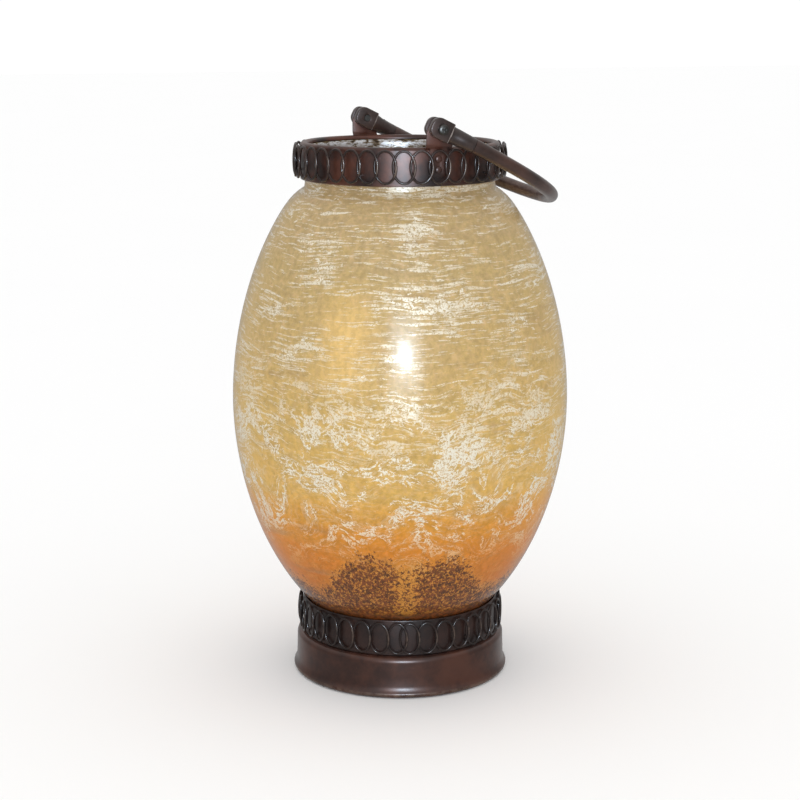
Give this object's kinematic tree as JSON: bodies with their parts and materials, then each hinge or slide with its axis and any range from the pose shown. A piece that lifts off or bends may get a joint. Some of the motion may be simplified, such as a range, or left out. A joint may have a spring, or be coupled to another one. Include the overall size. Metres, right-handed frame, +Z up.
{
  "type": "candle lantern",
  "caption": "Hurricane candle lantern: barrel of mottled glass between a flared foot and a collar, each trimmed with overlapping wire rings, with a pillar candle and a swinging bail handle.",
  "frame": {"origin": "middle of the underside, on the floor", "axes": "+Z up along the lantern's axis; the bail's pivot axis lies along Y and the bail is dropped towards +X"},
  "size_m": [0.2168, 0.2168, 0.3651],
  "materials": {
    "felt": "black felt",
    "base_plate": "dull plated steel",
    "foot_shell": "dark bronze, satin",
    "lower_band": "dark bronze, satin",
    "lower_rings": "dark bronze, satin, worn bright on the wires",
    "cork": "cork",
    "glass": "translucent mottled glass, cream above, amber to dark brown below",
    "fasteners": "zinc plated",
    "candle_plate": "dark bronze, satin",
    "wax": "cream candle wax",
    "wick": "waxed cotton",
    "collar_band": "dark bronze, satin",
    "upper_rings": "dark bronze, satin, worn bright on the wires",
    "ears": "dark bronze, satin",
    "rivets": "dark bronze, satin",
    "washers": "plain steel",
    "ferrules": "dark bronze, satin",
    "pivot_screws": "blackened steel",
    "bail_rod": "dark bronze, satin"
  },
  "bodies": {
    "lantern": {"base_felt": "felt", "base_plate": "base_plate", "foot_shell": "foot_shell", "lower_band": "lower_band", "lower_ring_row": "lower_rings", "glass_seat": "cork", "glass_barrel": "glass", "bolt_washer": "fasteners", "plate_spacer": "fasteners", "nut_washer": "fasteners", "centre_nut": "fasteners", "centre_bolt": "fasteners", "candle_plate": "candle_plate", "collar_packing": "cork", "collar_band": "collar_band", "upper_ring_row": "upper_rings", "ear_front": "ears", "ear_rear": "ears", "ear_rivet_1": "rivets", "ear_rivet_2": "rivets", "ear_rivet_3": "rivets", "ear_rivet_4": "rivets", "washer_front_inner": "washers", "washer_front_outer": "washers", "washer_rear_inner": "washers", "washer_rear_outer": "washers"},
    "bail": {"ferrule_front": "ferrules", "ferrule_rear": "ferrules", "pivot_screw_front": "pivot_screws", "pivot_screw_rear": "pivot_screws", "bail_rod": "bail_rod"},
    "candle": {"candle": "wax", "candle_wick": "wick"}
  },
  "joints": [
    {"name": "bail_swing", "type": "hinge", "parent": "lantern", "child": "bail", "pos_m": [0, 0, 0.35799], "axis": [0, -1, 0], "range_deg": [0, 232]},
    {"name": "candle_lift", "type": "slide", "parent": "lantern", "child": "candle", "axis": [0, 0, 1], "range_m": [0, 0.32]}
  ]
}
